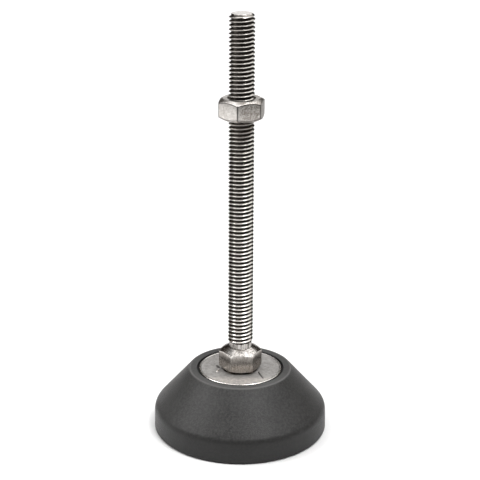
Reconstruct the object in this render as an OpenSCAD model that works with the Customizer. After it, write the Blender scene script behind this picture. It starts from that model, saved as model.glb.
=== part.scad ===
// Levelling foot for furniture. A threaded stud with a lock nut stands in a ball
// joint, and the joint is held under a steel plate in a moulded plastic base.
// Millimetres. The origin is on the floor at the middle of the foot, +Z is up.

/* [Base] */
// Diameter of the base at its lower edge
base_d = 55.6; // [54:0.1:60]
// Diameter where the upright rim meets the sloping side
shoulder_d = 55.3; // [53:0.1:59]
// Height of that edge above the lower edge, before it is rounded
shoulder_h = 7.2; // [5:0.1:8]
// Rounding of that edge
shoulder_r = 3.4; // [1:0.1:4]
// Outer diameter of the flat ring round the plate
top_ring_d = 32.8; // [31:0.1:36]
// Height of the base from its lower edge to the flat ring
base_h = 20.1; // [19.8:0.1:22]
// Wall thickness of the sloping side
wall_t = 3.0; // [2:0.1:3.5]
// Number of ribs between the boss and the outer wall
rib_count = 12; // [6:1:16]
// Thickness of one rib
rib_t = 1.8; // [1:0.1:3]
// Outer diameter of the boss round the ball joint
boss_d = 25.2; // [24:0.1:26]

/* [Anti-slip pad] */
// Diameter of the rubber pad
pad_d = 48.8; // [44:0.1:49]
// Thickness of the rubber pad
pad_t = 2.3; // [1.5:0.1:3]
// How far the pad stands below the lower edge of the base
pad_proud = 0.3; // [0:0.1:0.6]
// Width of one grip groove
groove_w = 1.6; // [0.8:0.1:2]
// Depth of one grip groove
groove_depth = 0.8; // [0.3:0.1:1]

/* [Retaining plate] */
// Diameter of the steel plate
plate_d = 26.6; // [26:0.1:27]
// Thickness of the steel plate
plate_t = 1.6; // [1.2:0.1:2]
// How far the plate lies below the flat ring of the base
plate_sunk = 0.05; // [0:0.05:0.3]
// Width of the open gap round the upper edge of the plate
plate_gap = 0.5; // [0.2:0.05:0.8]
// Depth of that gap below the flat ring
plate_gap_depth = 1.0; // [0.5:0.1:1.4]
// Diameter of the hole that the ball stands up into
plate_hole_d = 11.2; // [11.2:0.1:11.6]

/* [Ball joint] */
// Diameter of the ball
ball_d = 14; // [13.9:0.05:14.1]
// Clearance between the ball and the parts that hold it
ball_gap = 0.06; // [0.05:0.01:0.1]
// Outer diameter of the seat that the ball turns in
seat_d = 19; // [18:0.1:20]
// Clearance between turned or moulded parts that turn in each other
running_gap = 0.05; // [0.03:0.01:0.1]

/* [Stud] */
// Major diameter of the thread, as made
thread_d = 7.9; // [7.76:0.01:7.97]
// Height of the free end of the stud above the floor
stud_top = 135; // [120:1:150]
// Height of the lower end of the thread
thread_bottom = 29.9; // [29.5:0.1:35]
// Diameter of the plain neck under the thread
neck_d = 7.2; // [6.8:0.1:7.6]
// Chamfer at the free end
end_chamfer = 0.8; // [0.4:0.1:1.2]
// Width across the flats of the spanner hexagon
hex_af = 12; // [12:0.1:12.5]
// Height of the underside of the hexagon
hex_bottom = 20.9; // [20.85:0.05:21.2]
// Height at which the cone on top of the hexagon meets the neck
hex_top = 28.1; // [27:0.1:28.5]
// Turn of the hexagon about the stud
hex_turn = 4.6; // [0:0.1:60]
// Diameter of the spigot that holds the ball
spigot_d = 6; // [5.5:0.1:6.2]

/* [Lock nut] */
// Width across the flats of the nut
nut_af = 13; // [13:0.1:14]
// Height of the nut
nut_h = 6.5; // [5:0.1:8]
// Diameter of the flat face inside the chamfer of the nut
nut_face_d = 11.4; // [11:0.1:12.6]
// Height of the underside of the nut
nut_bottom = 102.9; // [40:0.1:120]
// Turn of the nut about the stud
nut_turn = 20.4; // [0:0.1:60]

/* [Hidden] */
$fn = 96;
eps = 0.01;

// heights above the floor
rim_z = pad_proud;
shoulder_z = rim_z + shoulder_h;
ring_z = rim_z + base_h;
plate_top = ring_z - plate_sunk;
plate_bottom = plate_top - plate_t;

// the ball stands up into the plate's hole until the edge of the hole holds it
ball_r = ball_d / 2;
hole_r = plate_hole_d / 2;
ball_z = plate_bottom - sqrt(pow(ball_r, 2) - pow(hole_r - 0.1, 2));
collar_d = 8.4;
ball_flat_top = ball_z + sqrt(pow(ball_r, 2) - pow(collar_d / 2, 2)) - 0.05;
ball_flat_bottom = ball_z - 5.75;
rivet_bottom = ball_flat_bottom + 0.2;
rivet_r = spigot_d / 2 + 0.6;
rivet_edge_h = 0.5;
rivet_cone_h = 0.7;

seat_bore_r = ball_r + ball_gap;
seat_drain_r = 3.6;
seat_bottom = ball_z - ball_r - 0.35;
seat_top = plate_bottom - 0.4;
boss_floor = seat_bottom - 0.1;
boss_bore_r = seat_d / 2 + running_gap;

pad_recess_r = pad_d / 2 + 0.2;
pocket_r = pad_recess_r - 0.4;
pocket_top = plate_bottom - 2.8;
groove_radii = [8, 14, 20];

// The direction from b to a
function along(a, b) = (a - b) / norm(a - b);

// The radius of a straight edge from a to b at the height z
function edge_r(a, b, z) = a[0] + (b[0] - a[0]) * (z - a[1]) / (b[1] - a[1]);

// The points of a rounding of radius r at the corner b, between the edges to a and c
function rounding(a, b, c, r) =
    let (
        to_a = along(a, b),
        to_c = along(c, b),
        half = acos(to_a * to_c) / 2,
        middle = to_a + to_c,
        centre = b + middle / norm(middle) * r / sin(half),
        first = b + to_a * r / tan(half) - centre,
        turn = sign(to_a[1] * to_c[0] - to_a[0] * to_c[1]) * (180 - 2 * half),
        steps = ceil(4 * sqrt(r))
    )
    [
        for (i = [0 : steps])
            let (angle = turn * i / steps)
            centre + [
                first[0] * cos(angle) - first[1] * sin(angle),
                first[0] * sin(angle) + first[1] * cos(angle)
            ]
    ];

// A polygon whose outward corners have the radii listed, 0 for a sharp one
module rounded_polygon(points, radii) {
    n = len(points);
    polygon([
        for (i = [0 : n - 1])
            each (radii[i] > 0
                ? rounding(points[(i + n - 1) % n], points[i], points[(i + 1) % n], radii[i])
                : [points[i]])
    ]);
}

// A hexagonal bar between two heights, with its corners turned away at 30 degrees
// outside the circle face_d at the top and outside foot_d at the bottom
module turned_hexagon(af, bottom, top, face_d, foot_d, turn) {
    corner_r = af / sqrt(3);
    face_drop = (corner_r + 0.1 - face_d / 2) * tan(30);
    foot_rise = (corner_r + 0.1 - foot_d / 2) * tan(30);
    intersection() {
        translate([0, 0, bottom])
            rotate(turn)
                cylinder(r = corner_r, h = top - bottom, $fn = 6);
        rotate_extrude()
            polygon([
                [0, bottom],
                [foot_d / 2, bottom],
                [corner_r + 0.1, bottom + foot_rise],
                [corner_r + 0.1, top - face_drop],
                [face_d / 2, top],
                [0, top]
            ]);
    }
}

module base_body() {
    shoulder = [shoulder_d / 2, shoulder_z];
    ring_edge = [top_ring_d / 2, ring_z];
    slope = along(ring_edge, shoulder);
    inward = [-slope[1], slope[0]] * wall_t;
    inner_low = shoulder + inward;
    inner_high = ring_edge + inward;
    color([0.20, 0.20, 0.19])
    difference() {
        rotate_extrude()
            rounded_polygon(
                [[0, rim_z], [base_d / 2, rim_z], shoulder, ring_edge, [0, ring_z]],
                [0, 0.4, shoulder_r, 0.8, 0]
            );
        // the seat of the plate, with an open gap round its upper edge
        translate([0, 0, plate_bottom])
            cylinder(d = plate_d, h = 5);
        translate([0, 0, ring_z - plate_gap_depth])
            cylinder(d = plate_d + 2 * plate_gap, h = 5);
        // the bore of the boss
        translate([0, 0, boss_floor])
            cylinder(r = boss_bore_r, h = 20);
        // the recess of the pad
        translate([0, 0, rim_z - 1])
            cylinder(r = pad_recess_r, h = pad_t - rim_z + 1);
        // the pockets between the ribs
        difference() {
            rotate_extrude()
                polygon([
                    [boss_d / 2, rim_z],
                    [pocket_r, rim_z],
                    [pocket_r, inner_low[1] + (inner_low[0] - pocket_r) * slope[1] / -slope[0]],
                    [edge_r(inner_low, inner_high, pocket_top), pocket_top],
                    [boss_d / 2, pocket_top]
                ]);
            for (i = [0 : rib_count - 1])
                rotate(360 / rib_count * (i + 0.5))
                    translate([boss_d / 2 - 2, -rib_t / 2, 0])
                        cube([base_d / 2, rib_t, ring_z]);
        }
    }
}

module antislip_pad() {
    color([0.09, 0.09, 0.09])
    difference() {
        rotate_extrude()
            rounded_polygon(
                [[0, 0], [pad_d / 2, 0], [pad_d / 2, pad_t], [0, pad_t]],
                [0, 0.25, 0, 0]
            );
        for (r = groove_radii)
            rotate_extrude()
                translate([r, -1])
                    square([groove_w, groove_depth + 1]);
    }
}

module ball_seat() {
    color([0.86, 0.85, 0.80])
    difference() {
        rotate_extrude()
            rounded_polygon(
                [[0, seat_bottom], [seat_d / 2, seat_bottom], [seat_d / 2, seat_top], [0, seat_top]],
                [0, 0.6, 0.4, 0]
            );
        translate([0, 0, ball_z])
            sphere(r = seat_bore_r);
        translate([0, 0, ball_z])
            cylinder(r = seat_bore_r, h = 10);
        cylinder(r = seat_drain_r, h = ball_z);
    }
}

module retaining_plate() {
    color([0.70, 0.69, 0.67])
    rotate_extrude()
        rounded_polygon(
            [[hole_r, plate_bottom], [plate_d / 2, plate_bottom],
             [plate_d / 2, plate_top], [hole_r, plate_top]],
            [0, 0, 0.35, 0.2]
        );
}

module pivot_ball() {
    bore_r = spigot_d / 2 + running_gap;
    sink_r = rivet_r + 0.1;
    sink_top = rivet_bottom + rivet_edge_h + 0.05;
    color([0.66, 0.66, 0.66])
    rotate_extrude()
        difference() {
            intersection() {
                translate([0, ball_z])
                    circle(r = ball_r);
                translate([bore_r, ball_flat_bottom])
                    square([ball_r, ball_flat_top - ball_flat_bottom]);
            }
            // the countersink that takes the riveted end of the stud
            polygon([
                [bore_r - 1, ball_flat_bottom - 1],
                [sink_r, ball_flat_bottom - 1],
                [sink_r, sink_top],
                [bore_r, sink_top + rivet_cone_h],
                [bore_r - 1, sink_top + rivet_cone_h]
            ]);
        }
}

module threaded_stud() {
    thread_r = thread_d / 2;
    neck_r = neck_d / 2;
    spigot_r = spigot_d / 2;
    run_out = thread_r - neck_r;
    collar_bottom = ball_flat_top + running_gap;
    cone_bottom = rivet_bottom + rivet_edge_h;
    color([0.78, 0.77, 0.74])
    union() {
        // the plain cylinder stands for the thread at its major diameter
        rotate_extrude()
            polygon([
                [0, rivet_bottom],
                [rivet_r, rivet_bottom],
                [rivet_r, cone_bottom],
                [spigot_r, cone_bottom + rivet_cone_h],
                [spigot_r, collar_bottom],
                [collar_d / 2, collar_bottom],
                [collar_d / 2, hex_bottom + 1],
                [neck_r + 0.2, hex_bottom + 1],
                [neck_r + 0.2, hex_top],
                [neck_r, hex_top + 0.2],
                [neck_r, thread_bottom - run_out],
                [thread_r, thread_bottom],
                [thread_r, stud_top - end_chamfer],
                [thread_r - end_chamfer, stud_top],
                [0, stud_top]
            ]);
        turned_hexagon(hex_af, hex_bottom, hex_top, neck_d + 0.4, hex_af - 0.1, hex_turn);
    }
}

module hex_nut() {
    bore_r = thread_d / 2 + running_gap;
    nut_top = nut_bottom + nut_h;
    color([0.74, 0.73, 0.71])
    difference() {
        turned_hexagon(nut_af, nut_bottom, nut_top, nut_face_d, nut_face_d, nut_turn);
        translate([0, 0, nut_bottom - 1])
            cylinder(r = bore_r, h = nut_h + 2);
        for (z = [nut_bottom, nut_top])
            translate([0, 0, z])
                mirror([0, 0, z == nut_top ? 1 : 0])
                    translate([0, 0, -eps])
                        cylinder(r1 = bore_r + 0.4, r2 = bore_r - eps, h = 0.4 + 2 * eps);
    }
}

base_body();
antislip_pad();
ball_seat();
retaining_plate();
pivot_ball();
threaded_stud();
hex_nut();
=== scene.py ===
"""Looks of a furniture levelling foot: a plastic foot with a steel plate, a threaded stud and a nut.

Everything is in metres, in the frame of the CAD model: the stud's axis is Z and the floor is z = 0.
"""

import cmath
import math

import bmesh
import bpy
from mathutils import Matrix, Vector, noise


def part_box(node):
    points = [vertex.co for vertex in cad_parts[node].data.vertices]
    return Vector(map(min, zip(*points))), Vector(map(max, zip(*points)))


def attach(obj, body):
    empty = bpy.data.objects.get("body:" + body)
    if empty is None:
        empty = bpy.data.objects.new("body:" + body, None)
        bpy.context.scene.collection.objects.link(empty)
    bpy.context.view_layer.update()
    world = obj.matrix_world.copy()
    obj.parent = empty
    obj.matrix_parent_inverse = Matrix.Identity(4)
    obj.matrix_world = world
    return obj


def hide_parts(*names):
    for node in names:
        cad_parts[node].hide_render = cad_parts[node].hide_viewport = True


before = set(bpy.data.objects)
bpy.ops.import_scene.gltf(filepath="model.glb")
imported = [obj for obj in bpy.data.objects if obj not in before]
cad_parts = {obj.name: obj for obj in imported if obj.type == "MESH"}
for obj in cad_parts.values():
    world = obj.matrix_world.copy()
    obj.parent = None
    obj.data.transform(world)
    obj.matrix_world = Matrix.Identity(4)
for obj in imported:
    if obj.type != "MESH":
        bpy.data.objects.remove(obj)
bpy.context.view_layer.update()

# A millimetre, a full turn, and the angle of the side that faces the camera
MM = 0.001
TURN = 2 * math.pi
FRONT = -math.pi / 2

# ---------------------------------------------------------------- dimensions

# Lowest and highest corner of each CAD node, which set the heights and the outer radii
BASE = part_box("base_body")
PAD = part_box("antislip_pad")
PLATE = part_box("retaining_plate")
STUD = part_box("threaded_stud")
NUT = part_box("hex_nut")
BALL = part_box("pivot_ball")

# Gap of pieces that fit together, and the least gap that keeps two faces apart
FIT_GAP = 0.05 * MM
HAIR_GAP = 0.01 * MM

# Outside of the moulded foot
SHOULDER_R = 27.65 * MM
SHOULDER_Z = 7.5 * MM
SHOULDER_ROUNDING = 3.4 * MM
RING_R = 16.4 * MM
RING_EDGE_ROUNDING = 0.8 * MM

# Recess of the plate, bore of the ball seat, and recess of the pad
RECESS_R = 13.8 * MM
RECESS_DEPTH = 1.0 * MM
SEAT_BORE_R = 9.55 * MM
BORE_FLOOR = 6.97 * MM
PAD_RECESS_R = 24.6 * MM

# Pockets and ribs underneath
WALL_T = 3 * MM
POCKET_INNER_R = 12.6 * MM
POCKET_OUTER_R = 24.2 * MM
POCKET_TOP = 15.95 * MM
RIB_COUNT = 12
RIB_T = 1.8 * MM

# Grooves of the pad, by their inner radii
PAD_GROOVE_RADII = (8 * MM, 14 * MM, 20 * MM)
PAD_GROOVE_W = 1.6 * MM
PAD_GROOVE_DEPTH = 0.8 * MM

# Cover plate, with the rim that stands above its face
PLATE_HOLE_R = 5.6 * MM
PLATE_RIM_W = 0.42 * MM
PLATE_RIM_FOOT_W = 0.62 * MM
PLATE_RIM_H = 0.12 * MM
PLATE_FACE_Z = PLATE[1].z - PLATE_RIM_H

# Slight waves of the plate's face
WAVE_LENGTH = 3 * MM
WAVE_HEIGHT_MM = 0.012

# Marks on the plate's face, in millimetres: both ends, the height above the face and the reach sideways
PLATE_SCORE = (5.7 - 3.5j, 7.3 - 8.0j, -0.3, 0.38)
PLATE_DENT = (-7.4 + 1.3j, -6.9 - 0.1j, -0.45, 0.7)
PLATE_BURR = (-7.1 - 2.4j, -7.5 - 3.5j, 0.32, 0.6)

# Thread and neck of the stud. The root in front lies a little below the stud's end.
PITCH = 1.25 * MM
CREST_R = 3.95 * MM
ROOT_R = 3.2 * MM
NECK_R = 3.6 * MM
END_R = 3.15 * MM
FRONT_ROOT_DROP = 0.19 * MM
RUNOUT_TOP = 29.95 * MM
RUNOUT_BOTTOM = 29.65 * MM

# Radii up to which the thread's grooves are darkened, by dirt and painted shade, and from which they are
# not
GROOVE_DARK_R = 3.3 * MM
GROOVE_PLAIN_R = 3.8 * MM

# Hexagon of the stud, turned to a cone at both ends, with its flats dullest at one height
CHAMFER_SLOPE = math.tan(math.radians(30))
STUD_HEX_AF = 12 * MM
STUD_HEX_CORNER_R = 0.45 * MM
STUD_HEX_TURN = math.radians(4.6)
STUD_HEX_BOTTOM = 20.9 * MM
STUD_HEX_TOP = 28.1 * MM
STUD_HEX_TOP_R = 3.8 * MM
STUD_HEX_FOOT_R = 5.95 * MM
STUD_HEX_DULL_Z = 24.9 * MM

# Collar under the hexagon, and the spigot with its riveted end
COLLAR_R = 4.2 * MM
SPIGOT_R = 3.0 * MM
RIVET_R = 3.6 * MM
RIVET_EDGE = 0.5 * MM
RIVET_CONE = 0.7 * MM

# Nut, with the radii at which the painted dark lines along its corners, which stand in for dark
# reflections, begin and are full
NUT_AF = 13 * MM
NUT_CORNER_R = 0.35 * MM
NUT_TURN = math.radians(20.4)
NUT_FACE_R = 5.7 * MM
NUT_MOUTH_R = 4.4 * MM
NUT_MOUTH_LAND = 0.2 * MM
NUT_CREST_PLAY = 0.1 * MM
NUT_LINE_START_R = 7.34 * MM
NUT_LINE_FULL_R = 7.4 * MM

# ---------------------------------------------------------------- mesh building

SHARP_ANGLE = math.radians(35)
MERGE_DISTANCE = 0.001 * MM


class Skin:
    """Points and faces of one closed surface, which is built ring by ring."""

    def __init__(self):
        self.points = []
        self.faces = []

    def point(self, radius, angle, height):
        """Adds one point and returns its number."""
        self.points.append((radius * math.cos(angle), radius * math.sin(angle), height))
        return len(self.points) - 1

    def ring(self, angles, radii, heights):
        """Adds a ring of points. A radius or height is one number, or a list with one for each angle."""
        radii = radii if isinstance(radii, list) else [radii] * len(angles)
        heights = heights if isinstance(heights, list) else [heights] * len(angles)
        return [self.point(r, a, h) for r, a, h in zip(radii, angles, heights)]

    def join(self, one, other):
        """Joins two rings with four-sided faces."""
        for i in range(len(one)):
            self.faces.append((one[i - 1], one[i], other[i], other[i - 1]))

    def join_all(self, rings):
        """Joins each ring to the next."""
        for one, other in zip(rings, rings[1:]):
            self.join(one, other)

    def cap(self, ring, height):
        """Closes a ring with a fan of faces round a point on the axis."""
        middle = self.point(0, 0, height)
        for i in range(len(ring)):
            self.faces.append((ring[i - 1], ring[i], middle))

    def helix(self, angles, low, high, radius_at):
        """Adds a screw thread between flat rings at low and at high, and returns both rings.

        Rows of points follow the helix. radius_at(height, rise) gives a point's radius, where rise is 0
        on a row along the root and 1 on a row along the crest.
        """
        bottom = self.ring(angles, radius_at(low, 0), low)
        top = self.ring(angles, radius_at(high, 0), high)
        first = root_height(angles[0]) - TURNS_SPARE * PITCH
        rows = len(THREAD_ROWS)
        total = math.ceil((high - first) / PITCH) * rows
        skipped = math.floor((low - first) / PITCH) - 1
        grid = []
        for number in range(skipped * rows, total + rows + 1):
            turns, row = divmod(number, rows)
            share, rise = THREAD_ROWS[row]
            line = []
            for i, angle in enumerate(angles):
                height = first + PITCH * (turns + share + (angle - angles[0]) / TURN)
                if height <= low:
                    line.append(bottom[i])
                elif height >= high:
                    line.append(top[i])
                else:
                    line.append(self.point(radius_at(height, rise), angle, height))
            grid.append(line)
        # Each row runs on into the row that is one turn above it
        wrapped = [line + [grid[k + rows][0]] for k, line in enumerate(grid[:-rows])]
        for lower, upper in zip(wrapped, wrapped[1:]):
            for i in range(len(angles)):
                corners = (lower[i], lower[i + 1], upper[i + 1], upper[i])
                kept = [c for k, c in enumerate(corners) if c != corners[k - 1]]
                if len(kept) > 2:
                    self.faces.append(tuple(kept))
        return bottom, top

    def build(self, name):
        """Makes the object, with its normals outward."""
        mesh = bpy.data.meshes.new(name)
        mesh.from_pydata(self.points, [], self.faces)
        shape = bmesh.new()
        shape.from_mesh(mesh)
        loose = [v for v in shape.verts if not v.link_faces]
        bmesh.ops.delete(shape, geom=loose, context="VERTS")
        bmesh.ops.recalc_face_normals(shape, faces=shape.faces)
        shape.to_mesh(mesh)
        shape.free()
        return show(name, mesh)


def show(name, mesh):
    """Links a mesh as a new object, smooth apart from its sharp edges."""
    mesh.shade_smooth()
    mesh.set_sharp_from_angle(angle=SHARP_ANGLE)
    made = bpy.data.objects.new(name, mesh)
    bpy.context.scene.collection.objects.link(made)
    return made


def even_angles(count):
    """Angles of evenly spaced columns."""
    return [TURN * i / count for i in range(count)]


def rounded_path(corners, steps=5):
    """Turns a path of (r, z, rounding) into a list of (r, z), with its corners rounded."""
    path = []
    for k, (r, z, rounding) in enumerate(corners):
        if rounding == 0:
            path.append((r, z))
            continue
        at = complex(r, z)
        back = complex(*corners[k - 1][:2]) - at
        onward = complex(*corners[k + 1][:2]) - at
        back /= abs(back)
        onward /= abs(onward)
        middle = (back + onward) / abs(back + onward)
        half = abs(cmath.phase(back / middle))
        centre = at + middle * rounding / math.sin(half)
        first = cmath.phase(at + back * rounding / math.tan(half) - centre)
        last = cmath.phase(at + onward * rounding / math.tan(half) - centre)
        turn = (last - first + math.pi) % TURN - math.pi
        for step in range(steps + 1):
            spot = centre + cmath.rect(rounding, first + turn * step / steps)
            path.append((spot.real, spot.imag))
    return path


def turned(name, path, columns=192):
    """Makes a turned piece from a path of (r, z) that starts and ends on the axis."""
    skin = Skin()
    rings = [skin.ring(even_angles(columns), r, z) for r, z in path[1:-1]]
    skin.join_all(rings)
    skin.cap(rings[0], path[0][1])
    skin.cap(rings[-1], path[-1][1])
    return skin.build(name)


def hexagon(across_flats, turn, corner_r, side_steps=12, corner_steps=4):
    """Outline of a hexagon with rounded corners, as a list of angles and a list of radii."""
    reach = across_flats / math.sqrt(3) - corner_r / math.cos(TURN / 12)
    outline = []
    for side in range(6):
        corner = turn + side * TURN / 6
        centre = cmath.rect(reach, corner)
        for k in range(corner_steps + 1):
            outline.append(centre + cmath.rect(corner_r, corner + TURN / 6 * (k / corner_steps - 0.5)))
        begin = outline[-1]
        end = cmath.rect(reach, corner + TURN / 6) + cmath.rect(corner_r, corner + TURN / 12)
        for k in range(1, side_steps):
            outline.append(begin + (end - begin) * k / side_steps)
    polar = sorted((cmath.phase(p) % TURN, abs(p)) for p in outline)
    return [angle for angle, radius in polar], [radius for angle, radius in polar]


def prism_rings(skin, angles, radii, inner_low, low, inner_high, high, softness):
    """Rings of a hexagon prism whose ends are turned to cones of 30 degrees, from bottom to top.

    inner_low and inner_high are the radii where the end faces start. low and high are pairs of a turned
    face's radius and its height.
    """
    columns = []
    for radius in radii:
        corners = [
            (inner_low, low[1], 0),
            (low[0], low[1], softness),
            (radius, low[1] + (radius - low[0]) * CHAMFER_SLOPE, softness),
            (radius, high[1] - (radius - high[0]) * CHAMFER_SLOPE, softness),
            (high[0], high[1], softness),
            (inner_high, high[1], 0),
        ]
        columns.append(rounded_path(corners, steps=3))
    return [
        skin.ring(angles, [r for r, z in row], [z for r, z in row])
        for row in zip(*columns)
    ]


# ---------------------------------------------------------------- thread

# Turns between the stud's end and the turn below the floor that the rows are counted from
TURNS_SPARE = 112

# Rows of one turn, as the share of the pitch and the rise from root to crest: up one flank and down again
ROOT_TO_CREST = [(0.0, 0.0), (0.075, 0.035), (0.135, 0.13), (0.425, 0.955), (0.455, 1.0)]
THREAD_ROWS = ROOT_TO_CREST + [(1 - share, rise) for share, rise in ROOT_TO_CREST[:0:-1]]


def root_height(angle):
    """Height of one thread root at an angle round the stud. The others are whole pitches from it."""
    return STUD[1].z - FRONT_ROOT_DROP + PITCH * (angle - FRONT) / TURN


def stud_radius(height, rise):
    """Radius of the stud's thread, which runs out above the neck and is chamfered at the end."""
    full = ROOT_R + (CREST_R - ROOT_R) * rise
    run = (height - RUNOUT_BOTTOM) / (RUNOUT_TOP - RUNOUT_BOTTOM)
    faded = NECK_R + (full - NECK_R) * min(max(run, 0), 1)
    return min(faded, END_R + STUD[1].z - height)


def nut_radius(height, rise):
    """Radius of the nut's thread, which is countersunk at both faces."""
    crest = ROOT_R + NUT_CREST_PLAY
    full = crest + (CREST_R + FIT_GAP - crest) * rise
    from_face = min(height - NUT[0].z, NUT[1].z - height)
    return max(full, NUT_MOUTH_R - from_face)


# ---------------------------------------------------------------- pieces


def build_stud():
    """The stud in one piece: thread, neck, hexagon, collar, and the spigot riveted into the ball."""
    skin = Skin()
    angles, radii = hexagon(STUD_HEX_AF, FRONT + STUD_HEX_TURN + TURN / 12, STUD_HEX_CORNER_R)
    below = [
        (0, STUD[0].z, 0),
        (RIVET_R, STUD[0].z, 0.15 * MM),
        (RIVET_R, STUD[0].z + RIVET_EDGE, 0),
        (SPIGOT_R, STUD[0].z + RIVET_EDGE + RIVET_CONE, 0),
        (SPIGOT_R, BALL[1].z + FIT_GAP, 0),
        (COLLAR_R, BALL[1].z + FIT_GAP, 0),
        (COLLAR_R, STUD_HEX_BOTTOM, 0),
    ]
    above = [
        (STUD_HEX_TOP_R, STUD_HEX_TOP, 0),
        (NECK_R, STUD_HEX_TOP, 0.1 * MM),
        (NECK_R, RUNOUT_BOTTOM, 0),
    ]
    rings = [skin.ring(angles, r, z) for r, z in rounded_path(below)[1:-1]]
    rings += prism_rings(
        skin, angles, radii,
        COLLAR_R, (STUD_HEX_FOOT_R, STUD_HEX_BOTTOM),
        NECK_R + 0.13 * MM, (STUD_HEX_TOP_R, STUD_HEX_TOP),
        0.12 * MM,
    )
    rings += [skin.ring(angles, r, z) for r, z in rounded_path(above)[1:-1]]
    bottom, top = skin.helix(angles, RUNOUT_BOTTOM, STUD[1].z, stud_radius)
    skin.join_all(rings + [bottom])
    inner = skin.ring(angles, END_R - 0.3 * MM, STUD[1].z)
    skin.join(top, inner)
    skin.cap(inner, STUD[1].z)
    skin.cap(rings[0], STUD[0].z)
    return skin.build("stud_turned")


def build_nut():
    """The hexagon nut, with a thread that follows the stud's."""
    skin = Skin()
    angles, radii = hexagon(NUT_AF, FRONT + NUT_TURN + TURN / 12, NUT_CORNER_R)
    mouth_edge = NUT_MOUTH_R + NUT_MOUTH_LAND
    rings = prism_rings(
        skin, angles, radii,
        mouth_edge, (NUT_FACE_R, NUT[0].z),
        mouth_edge, (NUT_FACE_R, NUT[1].z),
        0.1 * MM,
    )
    bottom, top = skin.helix(angles, NUT[0].z, NUT[1].z, nut_radius)
    skin.join_all([bottom] + rings + [top])
    return skin.build("nut_turned")


def pocket_cutter():
    """The twelve pockets between the ribs of the foot, as one mesh."""
    slope = Vector((RING_R - SHOULDER_R, BASE[1].z - SHOULDER_Z)).normalized()
    wall = Vector((SHOULDER_R, SHOULDER_Z)) - Vector((slope.y, -slope.x)) * WALL_T
    outer_z = wall.y + (POCKET_OUTER_R - wall.x) * slope.y / slope.x
    top_r = wall.x + (POCKET_TOP - wall.y) * slope.x / slope.y
    profile = [
        (POCKET_INNER_R, BASE[0].z),
        (POCKET_OUTER_R, BASE[0].z),
        (POCKET_OUTER_R, outer_z),
        (top_r, POCKET_TOP),
        (POCKET_INNER_R, POCKET_TOP),
    ]
    skin = Skin()
    steps = 8
    for pocket in range(RIB_COUNT):
        middle = TURN * pocket / RIB_COUNT
        slices = []
        for step in range(steps + 1):
            line = []
            for r, z in profile:
                half = TURN / RIB_COUNT / 2 - math.asin(RIB_T / 2 / r)
                line.append(skin.point(r, middle + half * (2 * step / steps - 1), z))
            slices.append(line)
        skin.join_all(slices)
        skin.faces.append(tuple(slices[0]))
        skin.faces.append(tuple(slices[-1]))
    return skin.build("pockets")


def build_foot():
    """The moulded foot: outer shell, recess of the plate, bore of the ball seat, and ribs underneath."""
    plate_seat_r = PLATE[1].x + HAIR_GAP
    corners = [
        (0, PAD[1].z, 0),
        (PAD_RECESS_R, PAD[1].z, 0),
        (PAD_RECESS_R, BASE[0].z, 0.2 * MM),
        (BASE[1].x, BASE[0].z, 0.4 * MM),
        (SHOULDER_R, SHOULDER_Z, SHOULDER_ROUNDING),
        (RING_R, BASE[1].z, RING_EDGE_ROUNDING),
        (RECESS_R, BASE[1].z, 0.25 * MM),
        (RECESS_R, BASE[1].z - RECESS_DEPTH, 0.1 * MM),
        (plate_seat_r, BASE[1].z - RECESS_DEPTH, 0.05 * MM),
        (plate_seat_r, PLATE[0].z, 0),
        (SEAT_BORE_R, PLATE[0].z, 0),
        (SEAT_BORE_R, BORE_FLOOR, 0),
        (0, BORE_FLOOR, 0),
    ]
    made = turned("foot_moulded", rounded_path(corners, steps=10), columns=288)
    cutter = pocket_cutter()
    cut = made.modifiers.new("pockets", "BOOLEAN")
    cut.operation = "DIFFERENCE"
    cut.solver = "EXACT"
    cut.object = cutter
    state = bpy.context.evaluated_depsgraph_get()
    shape = bpy.data.meshes.new_from_object(made.evaluated_get(state))
    bpy.data.objects.remove(made)
    bpy.data.objects.remove(cutter)
    tidy = bmesh.new()
    tidy.from_mesh(shape)
    bmesh.ops.remove_doubles(tidy, verts=tidy.verts, dist=MERGE_DISTANCE)
    bmesh.ops.dissolve_degenerate(tidy, edges=tidy.edges, dist=MERGE_DISTANCE)
    tidy.to_mesh(shape)
    tidy.free()
    return show("foot_moulded", shape)


def build_pad():
    """The anti-slip pad, with round grooves underneath."""
    low = PAD[0].z
    high = PAD[1].z - HAIR_GAP
    corners = [(0, low, 0)]
    for r in PAD_GROOVE_RADII:
        corners += [
            (r, low, 0.2 * MM),
            (r, low + PAD_GROOVE_DEPTH, 0.2 * MM),
            (r + PAD_GROOVE_W, low + PAD_GROOVE_DEPTH, 0.2 * MM),
            (r + PAD_GROOVE_W, low, 0.2 * MM),
        ]
    corners += [
        (PAD[1].x, low, 0.3 * MM),
        (PAD[1].x, high, 0.1 * MM),
        (0, high, 0),
    ]
    return turned("pad_rubber", rounded_path(corners, steps=4))


def distance_to_line(spot, start, end):
    """Distance from a point to the line between two others, all as complex numbers."""
    along = end - start
    share = ((spot - start) * along.conjugate()).real / abs(along) ** 2
    return abs(spot - start - along * min(max(share, 0), 1))


def hump(distance, reach):
    """A smooth hump: 1 at no distance, 0 from reach onwards."""
    return max(1 - (distance / reach) ** 2, 0) ** 2


def plate_relief(x, y):
    """Height of a point above the plate's flat face, from slight waves and from the marks."""
    spot = complex(x, y) / MM
    height = WAVE_HEIGHT_MM * noise.noise(Vector((x, y, 0)) / WAVE_LENGTH)
    for start, end, rise, reach in (PLATE_SCORE, PLATE_DENT, PLATE_BURR):
        height += rise * hump(distance_to_line(spot, start, end), reach)
    return height * MM


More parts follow.
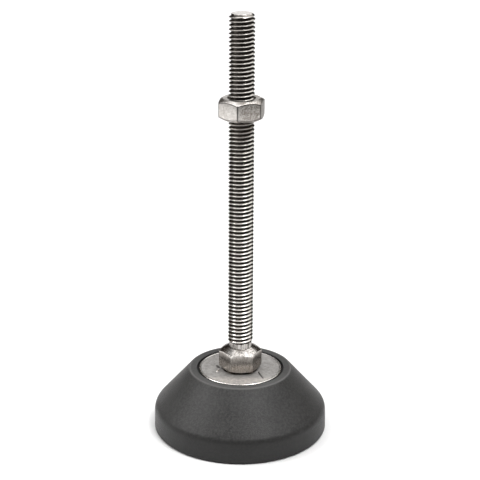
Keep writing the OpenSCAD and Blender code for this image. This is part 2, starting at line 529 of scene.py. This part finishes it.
def build_plate():
    """The cover plate: a pressed steel washer with a narrow raised rim."""
    skin = Skin()
    angles = even_angles(420)
    face_steps = 46
    outer_r = PLATE[1].x
    face_inner = PLATE_HOLE_R + 0.4 * MM
    face_outer = outer_r - PLATE_RIM_FOOT_W
    corners = [
        (face_inner, PLATE_FACE_Z, 0),
        (PLATE_HOLE_R, PLATE_FACE_Z, 0.2 * MM),
        (PLATE_HOLE_R, PLATE[0].z, 0.1 * MM),
        (outer_r, PLATE[0].z, 0.05 * MM),
        (outer_r, PLATE[1].z, 0.3 * MM),
        (outer_r - PLATE_RIM_W, PLATE[1].z, 0.08 * MM),
        (face_outer, PLATE_FACE_Z, 0.05 * MM),
        (face_outer - 0.05 * MM, PLATE_FACE_Z, 0),
    ]
    rings = [skin.ring(angles, r, z) for r, z in rounded_path(corners)]
    for step in range(1, face_steps):
        r = face_outer + (face_inner - face_outer) * step / face_steps
        reliefs = [plate_relief(r * math.cos(a), r * math.sin(a)) for a in angles]
        rings.append(skin.ring(angles, r, [PLATE_FACE_Z + relief for relief in reliefs]))
    skin.join_all(rings + rings[:1])
    return skin.build("plate_pressed")


foot = build_foot()
pad = build_pad()
plate = build_plate()
stud = build_stud()
nut = build_nut()

# ---------------------------------------------------------------- materials


class Tree:
    """A node tree that is built by short calls."""

    def __init__(self, tree, coordinates):
        self.tree = tree
        self.place = tree.nodes.new("ShaderNodeTexCoord").outputs[coordinates]

    def link(self, value, socket):
        """Sets a socket to a number or colour, or links it to another node's output."""
        if isinstance(value, bpy.types.NodeSocket):
            self.tree.links.new(value, socket)
        else:
            socket.default_value = value

    def noise(self, size, detail=2.0, stretch=(1, 1, 1), roughness=0.5):
        """Noise with lumps of about the given size in metres."""
        mapping = self.tree.nodes.new("ShaderNodeMapping")
        self.link(self.place, mapping.inputs["Vector"])
        mapping.inputs["Scale"].default_value = [1 / (size * s) for s in stretch]
        node = self.tree.nodes.new("ShaderNodeTexNoise")
        self.link(mapping.outputs["Vector"], node.inputs["Vector"])
        node.inputs["Scale"].default_value = 1.0
        node.inputs["Detail"].default_value = detail
        node.inputs["Roughness"].default_value = roughness
        return node.outputs["Fac"]

    def span(self, value, from_low, from_high, to_low, to_high):
        """Maps one range of numbers to another, smoothly and within its ends."""
        node = self.tree.nodes.new("ShaderNodeMapRange")
        node.interpolation_type = "SMOOTHSTEP"
        self.link(value, node.inputs["Value"])
        node.inputs["From Min"].default_value = from_low
        node.inputs["From Max"].default_value = from_high
        node.inputs["To Min"].default_value = to_low
        node.inputs["To Max"].default_value = to_high
        return node.outputs["Result"]

    def mix(self, share, one, other):
        """Mixes two colours."""
        node = self.tree.nodes.new("ShaderNodeMix")
        node.data_type = "RGBA"
        self.link(share, node.inputs["Factor"])
        self.link(one, node.inputs["A"])
        self.link(other, node.inputs["B"])
        return node.outputs["Result"]

    def maths(self, operation, *values):
        """The result of a Math node."""
        node = self.tree.nodes.new("ShaderNodeMath")
        node.operation = operation
        for value, socket in zip(values, node.inputs):
            self.link(value, socket)
        return node.outputs["Value"]

    def times(self, first, *others):
        """The product of some numbers."""
        product = first
        for other in others:
            product = self.maths("MULTIPLY", product, other)
        return product

    def apart(self, value, middle):
        """How far a number is from another, either way."""
        return self.maths("ABSOLUTE", self.maths("SUBTRACT", value, middle))

    def bump(self, height, distance, strength=1.0, under=None):
        """Bump from a height, whose full step is the given distance in metres."""
        node = self.tree.nodes.new("ShaderNodeBump")
        node.inputs["Distance"].default_value = distance
        node.inputs["Strength"].default_value = strength
        self.link(height, node.inputs["Height"])
        if under is not None:
            self.link(under, node.inputs["Normal"])
        return node.outputs["Normal"]

    def axes(self):
        """The three parts of the place."""
        node = self.tree.nodes.new("ShaderNodeSeparateXYZ")
        self.link(self.place, node.inputs["Vector"])
        return [node.outputs[axis] for axis in "XYZ"]

    def radius(self):
        """Distance from the stud's axis."""
        x, y, z = self.axes()
        squares = self.maths("ADD", self.times(x, x), self.times(y, y))
        return self.maths("SQRT", squares)


class Shades(Tree):
    """A material with one Principled shader."""

    def __init__(self, name):
        self.material = bpy.data.materials.new(name)
        self.material.use_nodes = True
        super().__init__(self.material.node_tree, "Object")
        self.shader = self.tree.nodes["Principled BSDF"]

    def set(self, **values):
        """Sets sockets of the shader by name, with _ for a space."""
        for name, value in values.items():
            self.link(value, self.shader.inputs[name.replace("_", " ")])


def grey(level, warmth=0.0):
    """A grey, slightly warm if warmth is above zero."""
    return (level * (1 + warmth), level, level * (1 - warmth), 1)


def polyamide():
    """Dark moulded plastic with a fine grain, with painted light and shade: a painted highlight along the
    ring's outer edge, the ring's top painted lighter and most in front, painted shade on the band under
    the shoulder and in the gap round the plate.
    """
    look = Shades("polyamide_grained")
    blotches = look.noise(5 * MM, detail=3)
    mottle = look.noise(0.75 * MM, detail=4, roughness=0.8)
    grain = look.noise(0.35 * MM, detail=3)
    radius = look.radius()
    x, y, z = look.axes()
    colour = look.mix(look.span(blotches, 0.35, 0.65, 0, 1), grey(0.02, 0.02), grey(0.026, 0.02))
    colour = look.mix(look.span(mottle, 0.4, 0.62, 0, 0.8), colour, grey(0.051, 0.02))
    # Painted shade: the upright band under the shoulder is painted darker.
    on_rim = look.span(z, SHOULDER_Z - 1 * MM, SHOULDER_Z + 2 * MM, 0.7, 0)
    colour = look.mix(on_rim, colour, grey(0.01, 0.02))
    on_ring = look.span(z, BASE[1].z - 0.4 * MM, BASE[1].z, 0, 0.7)
    # Painted light: the flat top of the ring is painted lighter, most in front.
    painted_light_front = look.span(y, -15 * MM, -4 * MM, 1, 0.2)
    colour = look.mix(look.times(on_ring, painted_light_front), colour, grey(0.08, 0.02))
    # Painted highlight: the rounded outer edge of the ring is painted lighter, in patches.
    at_edge = look.span(look.apart(radius, RING_R - 0.2 * MM), 0, 0.5 * MM, 1, 0)
    painted_light = look.times(at_edge, look.span(mottle, 0.3, 0.6, 0.4, 1))
    colour = look.mix(painted_light, colour, grey(0.11, 0.02))
    # Painted shade: the gap between the recess wall and the plate is painted nearly black.
    painted_gap_shade = look.span(radius, RECESS_R + 0.05 * MM, RECESS_R + 0.3 * MM, 0.85, 0)
    colour = look.mix(painted_gap_shade, colour, grey(0.005))
    roughness = look.span(mottle, 0.3, 0.7, 0.42, 0.54)
    look.set(
        Base_Color=colour,
        Roughness=look.maths("MULTIPLY_ADD", on_ring, 0.2, roughness),
        Specular_IOR_Level=0.35,
        Normal=look.bump(grain, 0.05 * MM, 0.9, under=look.bump(mottle, 0.08 * MM, 0.9)),
    )
    return look.material


def rubber():
    """Black rubber, dull, with fine pits."""
    look = Shades("rubber_dull")
    grain = look.noise(0.4 * MM, detail=4)
    dust = look.noise(5 * MM, detail=2)
    look.set(
        Base_Color=look.mix(look.span(dust, 0.45, 0.75, 0, 0.7), grey(0.016), grey(0.032, 0.03)),
        Roughness=look.span(grain, 0.3, 0.7, 0.72, 0.88),
        Normal=look.bump(grain, 0.05 * MM, 0.7),
    )
    return look.material


def acetal():
    """White moulded plastic, slightly glossy."""
    look = Shades("acetal_white")
    cloud = look.noise(4 * MM)
    look.set(
        Base_Color=look.mix(look.span(cloud, 0.3, 0.7, 0, 1), grey(0.66, 0.02), grey(0.74, 0.02)),
        Roughness=look.span(cloud, 0.3, 0.7, 0.3, 0.42),
        Normal=look.bump(look.noise(0.3 * MM), 0.01 * MM, 0.5),
    )
    return look.material


def steel(name, light, dark, rough, smear, grain_size=0.25 * MM, finish=None):
    """Stainless steel in two greys with a fine grain. finish changes its colour and roughness."""
    look = Shades(name)
    blotches = look.noise(1.6 * MM, detail=4)
    grain = look.noise(grain_size, detail=4, roughness=0.6)
    colour = look.mix(look.span(blotches, 0.35, 0.65, 0, 1), dark, light)
    colour = look.mix(look.span(grain, 0.5, 0.75, 0, 0.5), colour, grey(0.27, 0.06))
    roughness = look.span(grain, 0.25, 0.75, rough[0], rough[1])
    if finish:
        colour, roughness = finish(look, colour, roughness)
    look.set(
        Base_Color=colour,
        Metallic=1.0,
        Roughness=roughness,
        Specular_Tint=grey(0.45),
        Normal=look.bump(grain, smear, 0.8),
    )
    return look.material


def stud_finish(look, colour, roughness):
    """Dirt and painted shade in the thread's grooves, streaks and stains on the neck and cone, and dull
    drawn flats.
    """
    x, y, z = look.axes()
    radius = look.radius()

    streaky = look.noise(0.5 * MM, detail=4, stretch=(1, 1, 4), roughness=0.7)
    streaks = look.span(streaky, 0.35, 0.65, 0, 1)
    blots = look.span(look.noise(0.9 * MM, detail=2, stretch=(1, 1, 4)), 0.48, 0.6, 0, 0.85)
    stains = look.times(blots, look.span(radius, NECK_R, NECK_R + 1.5 * MM, 1, 0))
    turned_steel = look.mix(streaks, grey(0.3, 0.06), grey(0.6, 0.05))
    turned_steel = look.mix(stains, turned_steel, grey(0.08, 0.1))

    dull = look.mix(streaks, grey(0.14, 0.1), grey(0.24, 0.08))
    clean = look.mix(streaks, grey(0.29, 0.09), grey(0.46, 0.07))
    dullness = look.span(look.apart(z, STUD_HEX_DULL_Z), 0.3 * MM, 2 * MM, 1, 0)
    drawn_steel = look.mix(dullness, clean, dull)

    height_by_cone = look.maths("ADD", z, look.times(radius, CHAMFER_SLOPE))
    cone_foot = STUD_HEX_TOP + STUD_HEX_TOP_R * CHAMFER_SLOPE
    on_flats = look.span(height_by_cone, cone_foot - 0.5 * MM, cone_foot - 0.1 * MM, 1, 0)
    below_thread = look.mix(on_flats, turned_steel, drawn_steel)

    # Dirt and painted shade: the thread is painted dark brown below its crests, in the grooves where
    # shade falls.
    less_by_height = look.span(z, STUD[0].z, STUD[1].z, 0, 0.1 * MM)
    from_axis = look.maths("SUBTRACT", radius, less_by_height)
    in_groove = look.span(from_axis, GROOVE_DARK_R, GROOVE_PLAIN_R, 0.97, 0)
    on_thread = look.span(z, RUNOUT_TOP - 0.1 * MM, RUNOUT_TOP + 0.3 * MM, 0, 1)
    below_end = look.span(z, STUD[1].z - 0.4 * MM, STUD[1].z - 0.1 * MM, 1, 0)
    dirt_and_shade = look.times(in_groove, look.times(on_thread, below_end))
    colour = look.mix(dirt_and_shade, look.mix(on_thread, below_thread, colour), grey(0.055, 0.14))
    return colour, look.maths("ADD", roughness, look.times(on_flats, 0.06))


def nut_finish(look, colour, roughness):
    """Thin dark lines along the nut's edges, painted as dark reflections, and brown patches that are
    stronger on the right side, partly as painted shade.
    """
    x, y, z = look.axes()
    radius = look.radius()

    # Brown patches, made stronger on the right side as painted shade.
    patches = look.span(look.noise(0.45 * MM, detail=4, roughness=0.85), 0.44, 0.56, 0, 0.9)
    patches_and_side_shade = look.times(patches, look.span(x, -1 * MM, 1 * MM, 0.4, 1))
    colour = look.mix(patches_and_side_shade, colour, grey(0.19, 0.16))

    # Painted reflection: thin dark lines under the chamfers' edges and along the corners.
    middle = (NUT[0].z + NUT[1].z) / 2
    height_by_cone = look.maths("ADD", look.apart(z, middle), look.times(radius, CHAMFER_SLOPE))
    cone_foot = NUT[1].z - middle + NUT_FACE_R * CHAMFER_SLOPE
    line_top = look.span(height_by_cone, cone_foot - 0.12 * MM, cone_foot - 0.02 * MM, 1, 0)
    line_foot = look.span(height_by_cone, cone_foot - 0.42 * MM, cone_foot - 0.26 * MM, 0, 1)
    corner_line = look.span(radius, NUT_LINE_START_R, NUT_LINE_FULL_R, 0, 1)
    lines = look.maths("MAXIMUM", look.times(line_top, line_foot), corner_line)
    outside = look.span(radius, NUT_FACE_R, NUT_FACE_R + 0.3 * MM, 0, 1)
    colour = look.mix(look.times(lines, outside, 0.85), colour, grey(0.08, 0.06))
    return colour, roughness


def plate_finish(look, colour, roughness):
    """A polished rim and burr on the dull plate, painted lighter as a painted highlight; the front
    painted lighter as painted light; its marks and a line inside the rim painted dark, as dirt and
    painted shade.
    """
    x, y, z = look.axes()
    radius = look.radius()
    outer_r = PLATE[1].x

    patches = look.noise(0.9 * MM, detail=4, roughness=0.75)
    # Painted light: the front of the plate is painted lighter, in patches.
    painted_light_front = look.span(y, -10 * MM, -6 * MM, 0.7, 0)
    painted_light = look.times(painted_light_front, look.span(patches, 0.3, 0.6, 1, 0.5))
    colour = look.mix(look.span(patches, 0.4, 0.65, 0, 0.6), colour, grey(0.27, 0.04))
    colour = look.mix(painted_light, colour, grey(0.8, 0.07))

    # Polished, and painted highlight: the rim and the burr are painted much lighter.
    on_rim = look.span(radius, outer_r - 0.65 * MM, outer_r - 0.45 * MM, 0, 1)
    on_face = look.span(on_rim, 0, 1, 1, 0)
    above_face = look.span(z, PLATE_FACE_Z + 0.06 * MM, PLATE_FACE_Z + 0.18 * MM, 0, 1)
    bright = look.maths("MAXIMUM", on_rim, look.times(above_face, on_face))
    colour = look.mix(bright, colour, grey(0.78, 0.04))

    # Dirt and painted shade: the marks below the face and a line just inside the rim are painted dark.
    below_face = look.span(z, PLATE_FACE_Z - 0.25 * MM, PLATE_FACE_Z - 0.05 * MM, 0.75, 0)
    by_rim = look.span(look.apart(radius, outer_r - 0.68 * MM), 0, 0.2 * MM, 0.7, 0)
    dirt_and_shade = look.maths("MAXIMUM", look.times(below_face, on_face), by_rim)
    colour = look.mix(dirt_and_shade, colour, grey(0.06, 0.06))
    return colour, look.times(roughness, look.span(bright, 0, 1, 1, 0.35))


LIGHT_STEEL = grey(0.64, 0.05)
DARK_STEEL = grey(0.52, 0.06)
stud_steel = steel(
    "stainless_stud", LIGHT_STEEL, DARK_STEEL, (0.16, 0.28), 0.004 * MM,
    finish=stud_finish,
)
nut_steel = steel(
    "stainless_nut", grey(0.72, 0.04), grey(0.58, 0.05), (0.22, 0.36), 0.01 * MM,
    finish=nut_finish,
)
plate_steel = steel(
    "stainless_plate", grey(0.5, 0.03), grey(0.4, 0.03), (0.6, 0.78), 0.025 * MM,
    grain_size=0.4 * MM, finish=plate_finish,
)
ball_steel = steel("steel_ball", LIGHT_STEEL, DARK_STEEL, (0.12, 0.2), 0.002 * MM)


def finish_piece(piece, body, node, material):
    """Gives a piece its body and its material, and hides the CAD node that it stands for."""
    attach(piece, body)
    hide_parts(node)
    piece.data.materials.clear()
    piece.data.materials.append(material)


finish_piece(foot, "foot", "base_body", polyamide())
finish_piece(pad, "foot", "antislip_pad", rubber())
finish_piece(plate, "foot", "retaining_plate", plate_steel)
finish_piece(stud, "stud", "threaded_stud", stud_steel)
finish_piece(nut, "nut", "hex_nut", nut_steel)

for node, material in (("ball_seat", acetal()), ("pivot_ball", ball_steel)):
    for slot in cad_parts[node].material_slots:
        slot.material = material

# ---------------------------------------------------------------- studio


def build_floor():
    """A wide, plain, pale floor, which glows a little towards the back to stay white there."""
    bpy.ops.mesh.primitive_plane_add(size=8)
    made = bpy.context.object
    made.name = "studio_floor"
    look = Shades("floor_paint")
    cloud = look.noise(0.4)
    x, y, z = look.axes()
    look.set(
        Base_Color=look.mix(look.span(cloud, 0.3, 0.7, 0, 1), grey(0.88), grey(0.9)),
        Roughness=0.9,
        Specular_IOR_Level=0.0,
        Emission_Color=grey(1),
        Emission_Strength=look.span(y, -0.05, 0.8, 0.0, 0.45),
    )
    made.data.materials.append(look.material)


def softbox(name, place, aim, width, height, radiance, spread=180):
    """A rectangular soft light of a given radiance, aimed at a point. spread is the angle it lights."""
    data = bpy.data.lights.new(name, "AREA")
    data.shape = "RECTANGLE"
    data.size = width
    data.size_y = height
    data.energy = radiance * math.pi * width * height
    data.spread = math.radians(spread)
    made = bpy.data.objects.new(name, data)
    made.location = place
    towards = Vector(aim) - Vector(place)
    made.rotation_euler = towards.to_track_quat("-Z", "Y").to_euler()
    bpy.context.scene.collection.objects.link(made)


def build_sky(dark, overhead, wall):
    """A dark room, with light overhead and a low bright wall behind for the metal to reflect.

    x, y and z are the parts of the direction that is looked in.
    """
    world = bpy.data.worlds.new("studio")
    bpy.context.scene.world = world
    world.use_nodes = True
    look = Tree(world.node_tree, "Generated")
    x, y, z = look.axes()
    above = look.span(z, 0.5, 0.9, 0, overhead)
    low = look.span(z, 0.19, 0.32, wall, 0)
    near_middle = look.span(look.maths("ABSOLUTE", x), 0.1, 0.24, 1, 0)
    far_back = look.span(y, 0.2, 0.8, 0, 1)
    behind = look.times(far_back, look.times(low, near_middle))
    background = look.tree.nodes["Background"]
    lit = look.maths("ADD", above, behind)
    colour = look.mix(look.span(lit, 0, 0.2, 0, 1), (1, 0.86, 0.7, 1), grey(1))
    look.link(colour, background.inputs["Color"])
    look.link(look.maths("ADD", dark, lit), background.inputs["Strength"])


build_floor()
build_sky(dark=0.05, overhead=0.35, wall=3.2)
softbox(
    "key_top", place=(0.3, 0.3, 0.8), aim=(0.3, 0.3, 0),
    width=1.3, height=1.3, radiance=1.45,
)
softbox(
    "front_top", place=(0.3, -0.3, 0.85), aim=(0, 0, 0),
    width=0.45, height=0.4, radiance=0.6, spread=40,
)
softbox(
    "floor_left", place=(-0.55, -0.05, 0.45), aim=(-0.42, -0.05, 0),
    width=0.3, height=0.5, radiance=6.0,
)

# ---------------------------------------------------------------- camera

# Focal length over the picture's width, place, pitch down and roll of the camera
FOCAL_RATIO = 1391.37 / 480
SENSOR_MM = 36
CAMERA_PLACE = (-0.288 * MM, -408.8 * MM, 210.47 * MM)
CAMERA_PITCH = math.radians(19.732)
CAMERA_ROLL = math.radians(0.288)


def build_camera():
    """The camera, in front of the foot and above it, looking down."""
    data = bpy.data.cameras.new("camera")
    data.sensor_width = SENSOR_MM
    data.lens = FOCAL_RATIO * SENSOR_MM
    data.clip_start = 0.01
    data.clip_end = 20
    made = bpy.data.objects.new("camera", data)
    place = Matrix.Translation(CAMERA_PLACE)
    pitch = Matrix.Rotation(math.pi / 2 - CAMERA_PITCH, 4, "X")
    roll = Matrix.Rotation(CAMERA_ROLL, 4, "Z")
    made.matrix_world = place @ pitch @ roll
    bpy.context.scene.collection.objects.link(made)
    bpy.context.scene.camera = made


build_camera()
bpy.context.scene.view_settings.view_transform = "Standard"
